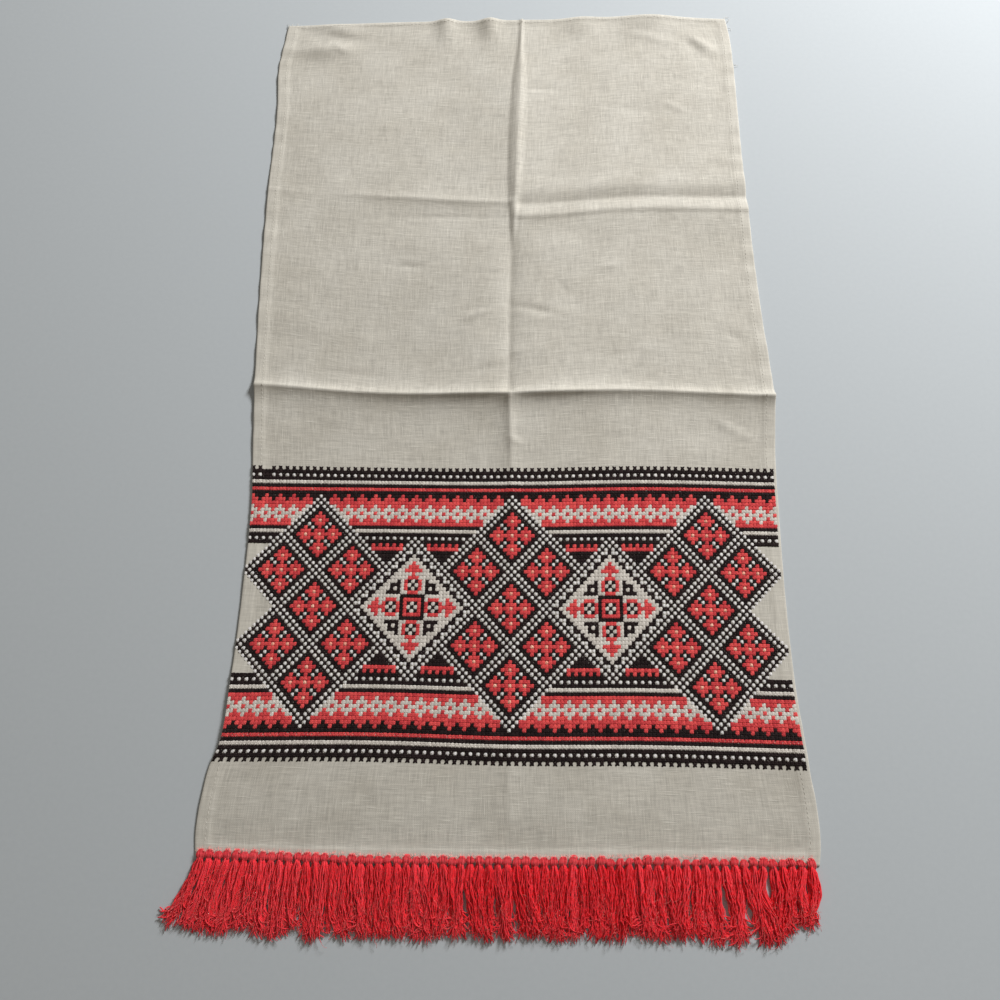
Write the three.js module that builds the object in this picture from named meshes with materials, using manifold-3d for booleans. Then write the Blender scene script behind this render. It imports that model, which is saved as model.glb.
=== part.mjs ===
// A linen ritual towel, lying flat, in millimetres: an embroidered sheet of cloth and a
// knotted yarn fringe along its lower hem. +Y runs from the fringe to the plain end, +Z is up,
// and the origin is the middle of the base of the whole towel.
import * as THREE from 'three';
import { mergeVertices } from 'three/addons/utils/BufferGeometryUtils.js';
import Module from 'manifold-3d';

const wasm = await Module();
wasm.setup();

// Driving dimensions
const clothLength = 687;
const clothThickness = 1.3;
const sideHemWidth = 8;
const bottomHemWidth = 8;
const topHemWidth = 4.5;
const hemExtra = 0.5;
const bandFoot = 59.7;
const bandHead = 266.6;
const bandRelief = 0.4;
const stepHalf = 0.6;
const rowStep = 20;
const columnStep = 30;
const crosswiseFoldNear = 324.6;
const crosswiseFoldFar = 495.5;
const foldEase = 3;
const upperFoldStart = 461;
const foldStations = [-17, -7, -3, 0, 3, 7, 17];
const besideFold = [3.5, 9, 18];
const nominalHalf = 197;
const settled = 0.25;
const pieceGap = 0.3;

const knotCount = 67;
const knotStartInset = 0.9;
const knotEndInset = 2.4;
const knotCrowding = 0.05;
const locksPerKnot = 3;
const lockLength = 42.5;
const lockRootDepth = 1.7;
const lengthByKnot = 1.8;
const lengthByLock = 1.6;
const shorterOutward = 0.004;
const sidewaysByLock = 0.2;
const lockBend = 1.2;

// Where the two edges and the lengthwise fold lie, a row for each station up the cloth.
// v is the distance from the lower hem along the fold, and the others are places in X.
const sections = [
  { v: 0, left: -200.7, fold: 0.0, right: 199.4 },
  { v: 14, left: -202.1, fold: 0.2, right: 201.5 },
  { v: 42, left: -199.9, fold: 0.4, right: 200.9 },
  { v: 56, left: -197.4, fold: 0.6, right: 199.2 },
  { v: 72, left: -191.8, fold: 0.8, right: 198.4 },
  { v: 112, left: -188.8, fold: 1.5, right: 195.9 },
  { v: 170, left: -186.6, fold: 2.6, right: 195.3 },
  { v: 243, left: -186.1, fold: 3.8, right: 197.4 },
  { v: 270, left: -188.2, fold: 3.4, right: 198.5 },
  { v: 330, left: -192.3, fold: 1.8, right: 202.4 },
  { v: 400, left: -195.4, fold: 2.6, right: 199.9 },
  { v: 500, left: -196.9, fold: 5.2, right: 197.7 },
  { v: 580, left: -195.9, fold: 8.4, right: 198.4 },
  { v: 635, left: -198.2, fold: 11.2, right: 198.9 },
  { v: 665, left: -195.4, fold: 12.8, right: 198.2 },
  { v: 687, left: -193.2, fold: 13.9, right: 195.8 },
];

// How far the crosswise threads bow up or down from straight, a row for each station.
const bows = [
  { v: 0, left: 4.5, midLeft: 1.2, fold: 0, midRight: -0.5, right: -1.5 },
  { v: 60, left: 2.6, midLeft: 2.6, fold: 0, midRight: -0.5, right: -3.0 },
  { v: 163, left: 2.1, midLeft: 1.6, fold: 0, midRight: 0.0, right: -2.2 },
  { v: 266, left: 2.5, midLeft: 0.7, fold: 0, midRight: 1.7, right: -0.5 },
  { v: 324.6, left: 8.6, midLeft: 0.4, fold: 0, midRight: 3.2, right: -1.6 },
  { v: 495.5, left: 14.0, midLeft: 6.3, fold: 0, midRight: 8.6, right: 8.3 },
  { v: 687, left: -5.5, midLeft: -1.5, fold: 0, midRight: 4.5, right: 2.5 },
];

// Height of the ridge along the lengthwise fold, below the near crosswise fold and above the far one
const foldRidge = [
  { v: 0, height: 0.4 },
  { v: 60, height: 1.1 },
  { v: 200, height: 1.2 },
  { v: 262, height: 2.0 },
  { v: 300, height: 3.2 },
  { v: 420, height: 3.4 },
  { v: 500, height: 2.2 },
  { v: 640, height: 3.0 },
  { v: 687, height: 3.0 },
];
const foldRidgeReach = 12;

// The trough along the lengthwise fold between the crosswise folds, in a low swell of the cloth
const foldTrough = { height: 2.6, reach: 13, swell: 62 };

// The ridge of the near crosswise fold, by place across the cloth, with its reach on the fringe's side
const nearRidge = [
  { x: -195, height: 3.4, reach: 10 },
  { x: -140, height: 3.0, reach: 12 },
  { x: -60, height: 4.8, reach: 19 },
  { x: 0, height: 5.0, reach: 20 },
  { x: 50, height: 4.8, reach: 15 },
  { x: 110, height: 3.3, reach: 12 },
  { x: 150, height: 2.8, reach: 12 },
  { x: 175, height: 4.2, reach: 15 },
  { x: 200, height: 4.2, reach: 12 },
];
const nearRidgeFarReach = 8;

// The ridge of the far crosswise fold left of the lengthwise fold
const farRidge = [
  { x: -195, height: 0.9, reach: 9 },
  { x: -150, height: 0.3, reach: 8 },
  { x: -112, height: 1.4, reach: 7 },
  { x: -70, height: 2.2, reach: 9 },
  { x: -30, height: 2.6, reach: 10 },
  { x: 0, height: 1.8, reach: 9 },
];

// Heights across the far crosswise fold right of the lengthwise fold: a ridge, a trough and a ridge
const farTrough = [
  { d: -66, height: 0.0 },
  { d: -40, height: 0.5 },
  { d: -22, height: 1.6 },
  { d: -15, height: 2.8 },
  { d: -8, height: 1.6 },
  { d: -2, height: 0.1 },
  { d: 2, height: 1.0 },
  { d: 8, height: 2.0 },
  { d: 26, height: 1.0 },
  { d: 60, height: 0.0 },
];

// Soft lifts of the cloth off the surface: x from the fold, v from the lower hem, half
// lengths along and across the lift, its turn in degrees and its height.
const lifts = [
  { x: -160, v: 656, along: 24, across: 9, turn: 6, height: 3.6 },
  { x: -146, v: 680, along: 20, across: 8, turn: -12, height: 2.6 },
  { x: 172, v: 655, along: 14, across: 8, turn: -35, height: 2.2 },
  { x: -52, v: 683, along: 9, across: 20, turn: 0, height: 2.2 },
  { x: -14, v: 683, along: 9, across: 18, turn: 0, height: 2.4 },
  { x: 67, v: 682, along: 16, across: 18, turn: 0, height: 1.8 },
  { x: 130, v: 684, along: 24, across: 16, turn: 0, height: 2.4 },
  { x: -40, v: 392, along: 26, across: 6, turn: 14, height: 1.3 },
  { x: -78, v: 430, along: 20, across: 6, turn: -4, height: 0.9 },
  { x: 22, v: 403, along: 24, across: 6, turn: -14, height: 1.0 },
  { x: 80, v: 429, along: 18, across: 6, turn: 10, height: 0.9 },
  { x: -196, v: 90, along: 12, across: 26, turn: 0, height: 1.2 },
  { x: 197, v: 62, along: 10, across: 22, turn: 0, height: 1.2 },
  { x: 205, v: 318, along: 14, across: 30, turn: 0, height: 1.4 },
];

// How far the tips of the fringe lean to the right of their knots, by place along the hem.
const leans = [
  { x: -200, lean: -25.0 },
  { x: -180, lean: -16.5 },
  { x: -160, lean: -9.0 },
  { x: -140, lean: -3.5 },
  { x: -119, lean: -0.5 },
  { x: -60, lean: 0.0 },
  { x: 60, lean: 0.5 },
  { x: 150, lean: 2.0 },
  { x: 180, lean: -0.5 },
  { x: 199, lean: -4.5 },
];

// Places where neighbouring locks part, and how wide the gap is at the tips.
const partings = [
  { x: -111, width: 4.5 },
  { x: -88, width: 2.0 },
  { x: 19, width: 3.0 },
  { x: 68, width: 2.0 },
  { x: 147, width: 5.0 },
  { x: 166, width: 3.5 },
  { x: 187, width: 2.5 },
];
const partingReach = 9;

// Section of the row of knots, from under the hem's edge round over its top: y from the edge and z
// at the seam between two knots, and how much each grows at the middle of a knot.
const lapZ = clothThickness + hemExtra + pieceGap;
const knotSection = [
  { y: -pieceGap, z: 0, growY: 0, growZ: 0 },
  { y: -pieceGap, z: lapZ, growY: 0, growZ: 0 },
  { y: 3.7, z: lapZ, growY: 0.9, growZ: 0 },
  { y: 2.7, z: 3.0, growY: 0.9, growZ: 0.6 },
  { y: -1.6, z: 3.1, growY: 0, growZ: 0.7 },
  { y: -3.3, z: 1.7, growY: -0.5, growZ: 0 },
  { y: -3.1, z: 0, growY: 0, growZ: 0 },
];

// Width and height of a lock's three-sided section, by share of its length
const lockSections = [
  { t: 0, width: 1.5, height: 2.4 },
  { t: 0.5, width: 1.42, height: 2.1 },
  { t: 1, width: 0.7, height: 0.9 },
];

// Two waves out of step with each other, whose sum makes repeated pieces uneven
const unevenness = [
  { share: 0.6, byIndex: 2.4, byKind: 1.7 },
  { share: 0.4, byIndex: 5.1, byKind: 3.1 },
];

const linen = new THREE.MeshStandardMaterial({ color: 0xcdc8bc, roughness: 0.95, metalness: 0 });
const redYarn = new THREE.MeshStandardMaterial({ color: 0xb01f2b, roughness: 0.9, metalness: 0 });

// A smooth curve through one column of a table, by its key column
function read(rows, key, column, at) {
  const last = rows.length - 1;
  let i = 0;
  while (i < last - 1 && at > rows[i + 1][key]) i += 1;
  const a = rows[i];
  const b = rows[i + 1];
  const span = b[key] - a[key];
  const rise = (b[column] - a[column]) / span;
  const before = i > 0 ? (a[column] - rows[i - 1][column]) / (a[key] - rows[i - 1][key]) : rise;
  const after = i < last - 1 ? (rows[i + 2][column] - b[column]) / (rows[i + 2][key] - b[key]) : rise;
  const t = THREE.MathUtils.clamp((at - a[key]) / span, 0, 1);
  const startSlope = ((before + rise) / 2) * span;
  const endSlope = ((rise + after) / 2) * span;
  const t2 = t * t;
  const t3 = t2 * t;
  return (
    (2 * t3 - 3 * t2 + 1) * a[column] +
    (t3 - 2 * t2 + t) * startSlope +
    (3 * t2 - 2 * t3) * b[column] +
    (t3 - t2) * endSlope
  );
}

// Height of the bow at u, -1 on the left edge, 0 on the fold and 1 on the right edge
function bow(u, v) {
  const across = [
    { u: -1, y: read(bows, 'v', 'left', v) },
    { u: -0.5, y: read(bows, 'v', 'midLeft', v) },
    { u: 0, y: read(bows, 'v', 'fold', v) },
    { u: 0.5, y: read(bows, 'v', 'midRight', v) },
    { u: 1, y: read(bows, 'v', 'right', v) },
  ];
  return read(across, 'u', 'y', u);
}

// Where a point of the cloth lies in plan, with x given from the fold as well
function place(u, v) {
  const fold = read(sections, 'v', 'fold', v);
  const edge = read(sections, 'v', u < 0 ? 'left' : 'right', v);
  const fromFold = Math.abs(u) * (edge - fold);
  return { x: fold + fromFold, y: v + bow(u, v), fromFold };
}

const bump = (distance, reach) => Math.exp(-((distance / reach) ** 2));
const { smoothstep } = THREE.MathUtils;

// A crease's section: steep beside its line, easing out over its reach
function crest(distance, reach) {
  const away = Math.abs(distance) / reach;
  return (Math.exp(-away) + Math.exp(-3 * away)) / 2;
}

// Height beside the lengthwise fold: a ridge, a trough between the crosswise folds, and a ridge again
function lengthwiseHeight(fromFold, v) {
  const between =
    smoothstep(v, crosswiseFoldNear - foldEase, crosswiseFoldNear) *
    (1 - smoothstep(v, upperFoldStart, crosswiseFoldFar));
  const ridge = read(foldRidge, 'v', 'height', v) * crest(fromFold, foldRidgeReach);
  const dip = 1 - crest(fromFold, foldTrough.reach);
  return (1 - between) * ridge + between * foldTrough.height * dip * bump(fromFold, foldTrough.swell);
}

// Height beside the two crosswise folds
function crosswiseHeight(x, fromFold, v) {
  const near = v - crosswiseFoldNear;
  const far = v - crosswiseFoldFar;
  const nearReach = near < 0 ? read(nearRidge, 'x', 'reach', x) : nearRidgeFarReach;
  const nearHeight = read(nearRidge, 'x', 'height', x) * crest(near, nearReach);
  const right = smoothstep(fromFold, -besideFold[0], besideFold[1]);
  const leftHeight = read(farRidge, 'x', 'height', x) * crest(far, read(farRidge, 'x', 'reach', x));
  return nearHeight + (1 - right) * leftHeight + right * read(farTrough, 'd', 'height', far);
}

// Height of the underside of the cloth above the surface: 0 where it lies flat
function lift(u, v) {
  const { x, fromFold } = place(u, v);
  let height = lengthwiseHeight(fromFold, v) + crosswiseHeight(x, fromFold, v);
  for (const soft of lifts) {
    const turn = THREE.MathUtils.degToRad(soft.turn);
    const dx = x - soft.x;
    const dv = v - soft.v;
    const alongLift = dx * Math.cos(turn) + dv * Math.sin(turn);
    const acrossLift = dv * Math.cos(turn) - dx * Math.sin(turn);
    height += soft.height * bump(alongLift, soft.along) * bump(acrossLift, soft.across);
  }
  const loose = smoothstep(v, bottomHemWidth, bottomHemWidth + rowStep);
  return Math.max(0, height * loose - settled);
}

// Thickness of the cloth, with its hems and the stitched band
function thickness(u, v) {
  const half = Math.abs(place(Math.sign(u) || 1, v).fromFold);
  const fromSide = (1 - Math.abs(u)) * half;
  const hemmed = fromSide < sideHemWidth || v < bottomHemWidth || v > clothLength - topHemWidth;
  const banded = v > bandFoot && v < bandHead;
  return clothThickness + (hemmed ? hemExtra : 0) + (banded ? bandRelief : 0);
}

// Evenly spaced values from one to another, with the ends, at about the given step
function spread(from, to, step) {
  const count = Math.max(1, Math.round((to - from) / step));
  return Array.from({ length: count + 1 }, (_, i) => from + ((to - from) * i) / count);
}

// Marks in order, with the gaps between them filled at about the given step
function filled(marks, step) {
  const later = marks.slice(1).flatMap((mark, i) => spread(marks[i], mark, step).slice(1));
  return [marks[0], ...later];
}

// Two places close on either side of a line where the thickness changes
const bothSides = (line) => [line - stepHalf, line + stepHalf];

// One side of the fold, as shares of the half width, finer beside the fold and at the hem
function sharesOut() {
  const hemLine = bothSides(nominalHalf - sideHemWidth);
  return filled([0, ...besideFold, ...hemLine, nominalHalf], columnStep)
    .slice(1)
    .map((out) => out / nominalHalf);
}

// Rows up the cloth, finer at the hems and beside the crosswise folds
function rowStations() {
  const marks = [
    0,
    ...bothSides(bottomHemWidth),
    ...bothSides(bandFoot),
    ...bothSides(bandHead),
    ...foldStations.map((step) => crosswiseFoldNear + step),
    ...foldStations.map((step) => crosswiseFoldFar + step),
    ...bothSides(clothLength - topHemWidth),
    clothLength,
  ];
  return filled(marks, rowStep);
}

// The cloth: a grid of top points over a grid of underside points, closed round the rim
function clothGeometry() {
  const out = sharesOut();
  const columns = [...out.map((share) => -share).reverse(), 0, ...out];
  const rows = rowStations();
  const positions = [];
  for (const raised of [true, false]) {
    for (const v of rows) {
      for (const u of columns) {
        const { x, y } = place(u, v);
        const z = lift(u, v) + (raised ? thickness(u, v) : 0);
        positions.push(x, y, z);
      }
    }
  }
  const width = columns.length;
  const under = rows.length * width;
  const triangles = [];
  for (let row = 0; row < rows.length - 1; row += 1) {
    for (let column = 0; column < width - 1; column += 1) {
      const a = row * width + column;
      const b = a + 1;
      const c = a + width;
      const d = c + 1;
      triangles.push(a, b, d, a, d, c);
      triangles.push(under + a, under + d, under + b, under + a, under + c, under + d);
    }
  }
  const rim = [];
  for (let column = 0; column < width - 1; column += 1) rim.push(column);
  for (let row = 0; row < rows.length - 1; row += 1) rim.push(row * width + width - 1);
  for (let column = width - 1; column > 0; column -= 1) rim.push((rows.length - 1) * width + column);
  for (let row = rows.length - 1; row > 0; row -= 1) rim.push(row * width);
  rim.forEach((from, i) => {
    const to = rim[(i + 1) % rim.length];
    triangles.push(from, under + from, under + to, from, under + to, to);
  });
  return indexed(positions, triangles);
}

function indexed(positions, triangles) {
  const geometry = new THREE.BufferGeometry();
  geometry.setAttribute('position', new THREE.Float32BufferAttribute(positions, 3));
  geometry.setIndex(triangles);
  return geometry;
}

// A closed tube of sections, each a loop of points in the same order, with flat ends
function loft(loops) {
  const size = loops[0].length;
  const positions = loops.flat().flatMap((point) => [point.x, point.y, point.z]);
  const triangles = [];
  for (let i = 0; i < loops.length - 1; i += 1) {
    for (let j = 0; j < size; j += 1) {
      const a = i * size + j;
      const b = i * size + ((j + 1) % size);
      triangles.push(a, b, b + size, a, b + size, a + size);
    }
  }
  const lastLoop = (loops.length - 1) * size;
  const flat = loops[0].map((point) => new THREE.Vector2(point.y, point.z));
  for (const [a, b, c] of THREE.ShapeUtils.triangulateShape(flat, [])) {
    triangles.push(a, c, b);
    triangles.push(lastLoop + a, lastLoop + b, lastLoop + c);
  }
  return indexed(positions, triangles);
}

// Repeatable unevenness from -1 to 1
const wobble = (index, kind) =>
  unevenness.reduce((sum, wave) => sum + wave.share * Math.sin(index * wave.byIndex + kind * wave.byKind), 0);

// Place of a knot along the hem, by its number; half numbers fall between two knots
function knotX(index) {
  const start = sections[0].left + knotStartInset;
  const end = sections[0].right - knotEndInset;
  const t = (index + 0.5) / knotCount;
  return start + (end - start) * (t * (1 - knotCrowding) + t * t * knotCrowding);
}

const hemY = (x) => bow(x / (x < 0 ? -sections[0].left : sections[0].right), 0);

// The row of knots, as one ridged strip that laps over the lower hem, clear of it all round
function knotStripGeometry() {
  const loops = [];
  for (let half = 0; half <= 2 * knotCount; half += 1) {
    const grown = half % 2;
    const x = knotX(half / 2 - 0.5);
    const edge = hemY(x);
    const loop = knotSection.map((corner) => {
      const y = corner.y + grown * corner.growY;
      return new THREE.Vector3(x, edge + y, corner.z + grown * corner.growZ);
    });
    loops.push(loop);
  }
  return loft(loops);
}

// Sideways shift of a fringe tip whose root is at x
function tipShift(x) {
  let shift = read(leans, 'x', 'lean', x);
  for (const parting of partings) {
    const side = x < parting.x ? -1 : 1;
    shift += side * (parting.width / 2) * Math.exp(-Math.abs(x - parting.x) / partingReach);
  }
  return shift;
}

// One lock of yarn, three-sided, lying level from inside the knots to its tip
function lockGeometry(index) {
  const knot = Math.floor(index / locksPerKnot);
  const withinKnot = (index % locksPerKnot) - (locksPerKnot - 1) / 2;
  const pitch = knotX(knot + 0.5) - knotX(knot - 0.5);
  const rootX = knotX(knot) + (withinKnot * pitch) / locksPerKnot;
  const uneven = lengthByKnot * wobble(knot, 1) + lengthByLock * wobble(index, 2);
  const length = lockLength + uneven - shorterOutward * Math.abs(rootX);
  const shift = tipShift(rootX) + sidewaysByLock * wobble(index, 3);
  const rootY = hemY(rootX) - lockRootDepth;
  const loops = lockSections.map(({ t, width, height }) => {
    const x = rootX + shift * t ** lockBend;
    const y = rootY - length * t;
    return [
      new THREE.Vector3(x + width / 2, y, 0),
      new THREE.Vector3(x, y, height),
      new THREE.Vector3(x - width / 2, y, 0),
    ];
  });
  return prism(loops);
}

// A closed tube of three-point sections
function prism(loops) {
  const positions = loops.flat().flatMap((point) => [point.x, point.y, point.z]);
  const triangles = [];
  for (let i = 0; i < loops.length - 1; i += 1) {
    for (let j = 0; j < 3; j += 1) {
      const a = i * 3 + j;
      const b = i * 3 + ((j + 1) % 3);
      triangles.push(a, b, b + 3, a, b + 3, a + 3);
    }
  }
  const end = (loops.length - 1) * 3;
  triangles.push(0, 2, 1);
  triangles.push(end, end + 1, end + 2);
  return indexed(positions, triangles);
}

function toSolid(geometry) {
  const merged = mergeVertices(geometry);
  const mesh = new wasm.Mesh({
    numProp: 3,
    vertProperties: new Float32Array(merged.attributes.position.array),
    triVerts: new Uint32Array(merged.index.array),
  });
  return new wasm.Manifold(mesh);
}

function fromSolid(solid) {
  const mesh = solid.getMesh();
  return indexed(Array.from(mesh.vertProperties), Array.from(mesh.triVerts));
}

// The fringe: every lock rooted in the strip of knots
function fringeGeometry() {
  let fringe = toSolid(knotStripGeometry());
  for (let index = 0; index < knotCount * locksPerKnot; index += 1) {
    fringe = fringe.add(toSolid(lockGeometry(index)));
  }
  return fromSolid(fringe);
}

const cloth = new THREE.Mesh(clothGeometry(), linen);
cloth.name = 'cloth';

const fringe = new THREE.Mesh(fringeGeometry(), redYarn);
fringe.name = 'fringe';

// The whole towel is moved so that the middle of its base is the origin
const towel = new THREE.Group();
towel.add(cloth, fringe);
const reach = new THREE.Box3().setFromObject(towel);
towel.position.set(-(reach.min.x + reach.max.x) / 2, -(reach.min.y + reach.max.y) / 2, -reach.min.z);
towel.updateMatrixWorld(true);

export default towel;
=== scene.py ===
"""A linen ritual towel lying flat: cloth with hems, a cross-stitched band and a fringe of knotted yarn.

Sizes are in millimetres on the towel's plan, whose zero is where the lengthwise fold meets the lower hem.
u runs from -1 at the left edge over 0 on the fold to 1 at the right edge, and v is the way up from the hem.
"""

import bpy
import numpy as np
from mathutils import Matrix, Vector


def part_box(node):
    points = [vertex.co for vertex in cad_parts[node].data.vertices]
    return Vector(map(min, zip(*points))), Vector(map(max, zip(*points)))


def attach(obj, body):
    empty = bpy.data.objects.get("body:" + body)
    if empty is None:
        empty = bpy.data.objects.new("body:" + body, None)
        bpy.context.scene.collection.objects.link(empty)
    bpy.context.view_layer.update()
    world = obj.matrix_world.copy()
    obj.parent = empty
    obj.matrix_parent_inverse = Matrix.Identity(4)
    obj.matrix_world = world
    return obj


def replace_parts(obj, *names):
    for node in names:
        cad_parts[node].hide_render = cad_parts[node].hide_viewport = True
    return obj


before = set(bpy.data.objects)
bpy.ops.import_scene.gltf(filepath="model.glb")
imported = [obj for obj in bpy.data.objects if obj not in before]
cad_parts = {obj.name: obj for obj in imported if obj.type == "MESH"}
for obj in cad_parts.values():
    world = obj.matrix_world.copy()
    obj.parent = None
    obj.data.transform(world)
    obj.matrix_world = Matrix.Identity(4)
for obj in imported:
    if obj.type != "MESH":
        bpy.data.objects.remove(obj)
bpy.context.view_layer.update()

MM = 0.001

# The cloth
CLOTH_LENGTH = 687
CLOTH_THICKNESS = 0.6
HEM_EXTRA = 0.3
HEM_HOLD = 22
EDGE_ROUNDING = 0.25
SIDE_HEM = 8
BOTTOM_HEM = 8
TOP_HEM = 4.5
NOMINAL_HALF = 197
NEAR_FOLD = 324.6
FAR_FOLD = 495.5
THREAD_PITCH = 0.62
SEWING_PITCH = 3.1
SEWING_INSET = 1.3
SEWING_RADIUS = 0.14
FRAY_RADIUS = 0.2

# The section of a fold's ridge
CREST_ROUNDING = 0.7
CREST_STEEPNESS = 3.2

# The lengthwise fold: a ridge, a trough between the crosswise folds and a swell under the tuck
RIDGE_REACH = 12
TROUGH_RISE = 2.6
TROUGH_SLOPE = 13
TROUGH_REACH = 62
SWELL_RISE = 1.3
SWELL_REACH = 36
TUCK_SLOPE = 12
TUCK_LINE = 0.6
TUCK_FOOT = 0.15
TUCK_LENGTH = 28

# The stitched band
STITCH = 2.617
BAND_MIDDLE = 162.7
MIDDLE_ROW = 31
REPEAT = 56
LATTICE_REACH = 11
MEDALLION_REACH = 20
COLUMNS_LEFT = 76.4
COLUMNS_RIGHT = 77.3
LAST_COLUMN = 76
FIRST_ROW = -8
LAST_ROW = 70
BAND_REACH = 105
CROSSING_RISE = 0.12
STRAND_SHOULDER = 0.55
STRAND_SIDE_HEIGHT = 0.12
STRAND_TIP_HEIGHT = 0.05
STRAND_ROOT_HEIGHT = -0.15
STRAND_POINTS = 10
EDGE_LIMIT = 0.9985

# The fringe
KNOTS = 67
KNOT_START = 0.9
KNOT_END = 2.4
KNOT_CROWDING = 0.05
KNOT_STRANDS = 7
KNOT_WIDTH = 2.55
KNOT_TOP = 4.2
KNOT_BOTTOM = -1.7
KNOT_YARN_RADIUS = 0.52
KNOT_FIBRES = 14
STRANDS = 15
YARN_RADIUS = 0.42
PILE_HEIGHT = 3.1
STRAY_SHARE = 0.24
FLUFF = 1250
FIBRE_RADIUS = 0.12
KNOT_FIBRE_RADIUS = 0.1
PARTING_REACH = 7
SLANT_REACH = 4

# The camera, over the plan
CAMERA_X = -5.1
CAMERA_Y = 90.2
CAMERA_HEIGHT = 527
CAMERA_TILT = 16.1
CAMERA_LENS = 27.05
SENSOR = 36

# The light and the floor, in metres
WINDOW_PLACE = (1.2, 1.4, 1.0)
WINDOW_AIM = (0, 0.05, 0)
WINDOW_SIZE = 0.55
WINDOW_POWER = 66
WINDOW_COLOUR = (0.985, 0.995, 1.005)
ROOM_COLOUR = (1.0, 0.935, 0.83, 1)
ROOM_STRENGTH = 0.22
FLOOR_HALF = 3.0
FLOOR_LEVEL = -0.0001


def table(names, rows):
    """Rows of numbers as named columns."""
    return dict(zip(names.split(), np.array(rows, float).T))


# Where the two edges and the lengthwise fold lie in X, a row for each station up the cloth
SECTIONS = table("v left fold right", [
    (0, -200.7, 0.0, 199.4),
    (14, -202.1, 0.2, 201.5),
    (42, -199.9, 0.4, 200.9),
    (56, -197.4, 0.6, 199.2),
    (72, -191.8, 0.8, 198.4),
    (112, -188.8, 1.5, 195.9),
    (170, -186.6, 2.6, 195.3),
    (243, -186.1, 3.8, 197.4),
    (270, -188.2, 3.4, 198.5),
    (330, -192.3, 1.8, 202.4),
    (400, -195.4, 2.6, 199.9),
    (500, -196.9, 5.2, 197.7),
    (580, -195.9, 8.4, 198.4),
    (635, -198.2, 11.2, 198.9),
    (665, -195.4, 12.8, 198.2),
    (687, -193.2, 13.9, 195.8),
])

# How far the crosswise threads bow from straight, a row for each station
BOWS = table("v left mid_left fold mid_right right", [
    (0, 4.5, 1.2, 0, -0.5, -1.5),
    (60, 2.6, 2.6, 0, -0.5, -3.0),
    (163, 2.1, 1.6, 0, 0.0, -2.2),
    (266, 2.5, 0.7, 0, 1.7, -0.5),
    (324.6, 8.6, 0.4, 0, 3.2, -1.6),
    (495.5, 14.0, 6.3, 0, 8.6, 8.3),
    (687, -5.5, -1.5, 0, 4.5, 2.5),
])
BOW_COLUMNS = tuple(BOWS)[1:]

# Height of the ridge along the lengthwise fold below the near crosswise fold
FOLD_RIDGE = table("v height", [
    (0, 0.4),
    (60, 1.1),
    (200, 1.2),
    (262, 2.0),
    (300, 3.2),
    (330, 3.4),
])

# The ridge of the near crosswise fold, by place across the cloth
NEAR_RIDGE = table("x height reach", [
    (-195, 3.4, 10),
    (-175, 4.7, 11.5),
    (-140, 5.5, 12.5),
    (-60, 7.3, 17),
    (0, 7.2, 18),
    (50, 6.8, 15),
    (110, 5.2, 12),
    (150, 4.8, 12),
    (175, 6.0, 15),
    (200, 5.4, 12),
])
NEAR_RIDGE_FAR_REACH = 7.5

# The tuck along the upper part of the lengthwise fold: its edges right of the fold, and its height
TUCK = table("v start end height", [
    (448, -0.8, 1.6, 0.3),
    (461, -1.0, 3.8, 1.1),
    (502, -4.0, 7.0, 2.2),
    (540, -5.3, 8.5, 2.5),
    (600, -5.7, 8.8, 2.5),
    (635, -4.2, 7.0, 2.2),
    (655, -2.2, 4.0, 1.8),
    (687, -1.4, 2.4, 1.4),
])

# The ridge of the far crosswise fold left of the lengthwise fold
FAR_RIDGE = table("x height reach", [
    (-195, 0.9, 9),
    (-150, 0.3, 8),
    (-112, 1.4, 7),
    (-70, 2.2, 9),
    (-30, 2.6, 10),
    (0, 1.8, 9),
])

# Heights across the far crosswise fold right of the lengthwise fold: a trough, then a ridge on its near side
FAR_TROUGH = table("d height", [
    (-66, 0.0),
    (-40, 0.5),
    (-22, 1.6),
    (-17.5, 2.0),
    (-15, 2.8),
    (-8, 1.6),
    (-2, 0.1),
    (2, 1.0),
    (8, 2.0),
    (26, 1.0),
    (60, 0.0),
])

# Soft lifts of the cloth: half lengths along and across, the turn in degrees and the height
LIFTS = table("x v along across turn height", [
    (-158, 655, 22, 8, 4, 2.9),
    (-146, 680, 20, 7, -12, 1.9),
    (172, 655, 12, 6, -38, 2.0),
    (-52, 684, 9, 18, 0, 3.4),
    (-14, 684, 9, 17, 0, 3.6),
    (67, 683, 16, 16, 0, 2.2),
    (130, 684, 24, 14, 0, 3.0),
    (-196, 90, 12, 26, 0, 1.2),
    (197, 62, 10, 22, 0, 1.2),
    (205, 318, 14, 30, 0, 1.4),
])

# Small creases: half lengths along and across, the turn in degrees, and the rise, below zero for a trough
CREASES = table("x y along across turn rise", [
    (-150, 668, 16, 4, -8, -0.9),
    (-146, 655, 9, 3, -32, 0.7),
    (-47, 482, 44, 2.5, -1, -0.45),
    (165, 660, 9, 5, -35, -1.5),
    (32, 611, 14, 3, 0, -0.75),
    (126, 668, 19, 4, -17, 0.75),
    (145, 593, 12, 3, -27, 0.6),
    (105, 591, 21, 3, -9, -0.45),
    (-78, 436, 10, 2.5, -8, -0.9),
    (-24, 392, 13, 2.6, 18, 0.9),
    (-14, 347, 14, 3, 13, -0.75),
    (-118, 342, 18, 3, -7, -0.45),
    (23, 397, 16, 2.6, -12, -1.05),
    (83, 437, 9, 2.6, 10, 0.75),
    (111, 363, 8, 2.6, 0, 0.6),
    (83, 359, 20, 3, 5, -0.52),
    (178, 374, 7, 3, -28, -0.75),
    (7, 361, 5, 2.5, 36, 0.75),
    (7, 287, 6, 2.5, -30, 0.75),
    (167, 298, 15, 3, -30, 0.6),
    (44, 418, 10, 2.5, -49, -0.45),
])

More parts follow.
